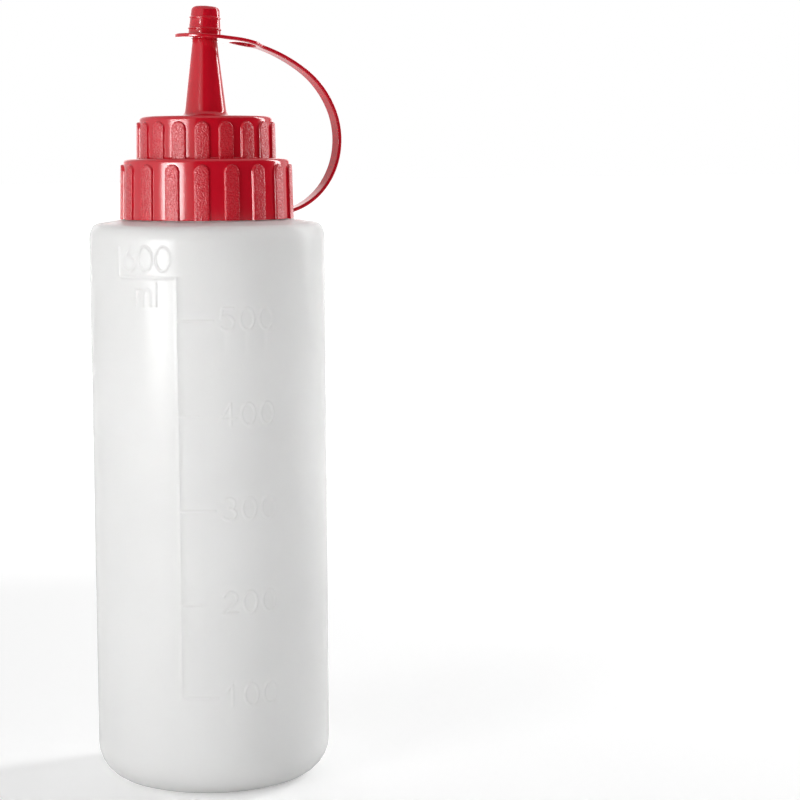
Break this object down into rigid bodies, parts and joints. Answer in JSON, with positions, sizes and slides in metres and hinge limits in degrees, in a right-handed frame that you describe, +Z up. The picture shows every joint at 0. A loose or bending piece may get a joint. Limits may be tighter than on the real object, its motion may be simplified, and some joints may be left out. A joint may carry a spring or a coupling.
{
  "type": "squeeze bottle",
  "caption": "Round translucent squeeze bottle with a ribbed two-tier screw cap, a tapered nozzle and a tethered tip cover.",
  "frame": {"origin": "on the bottle's axis, at the plane that its base stands on", "axes": "+Z up along the bottle's axis, +X towards the loop of the tip cover's strap, +Y completes a right-handed frame"},
  "size_m": [0.0804, 0.07, 0.2309],
  "materials": {
    "bottle_plastic": "satin, milky and slightly translucent",
    "closure_plastic": "gloss, with fine matt texture on the ribs"
  },
  "bodies": {
    "root": {"bottle": "bottle_plastic", "closure": "closure_plastic"}
  },
  "joints": []
}
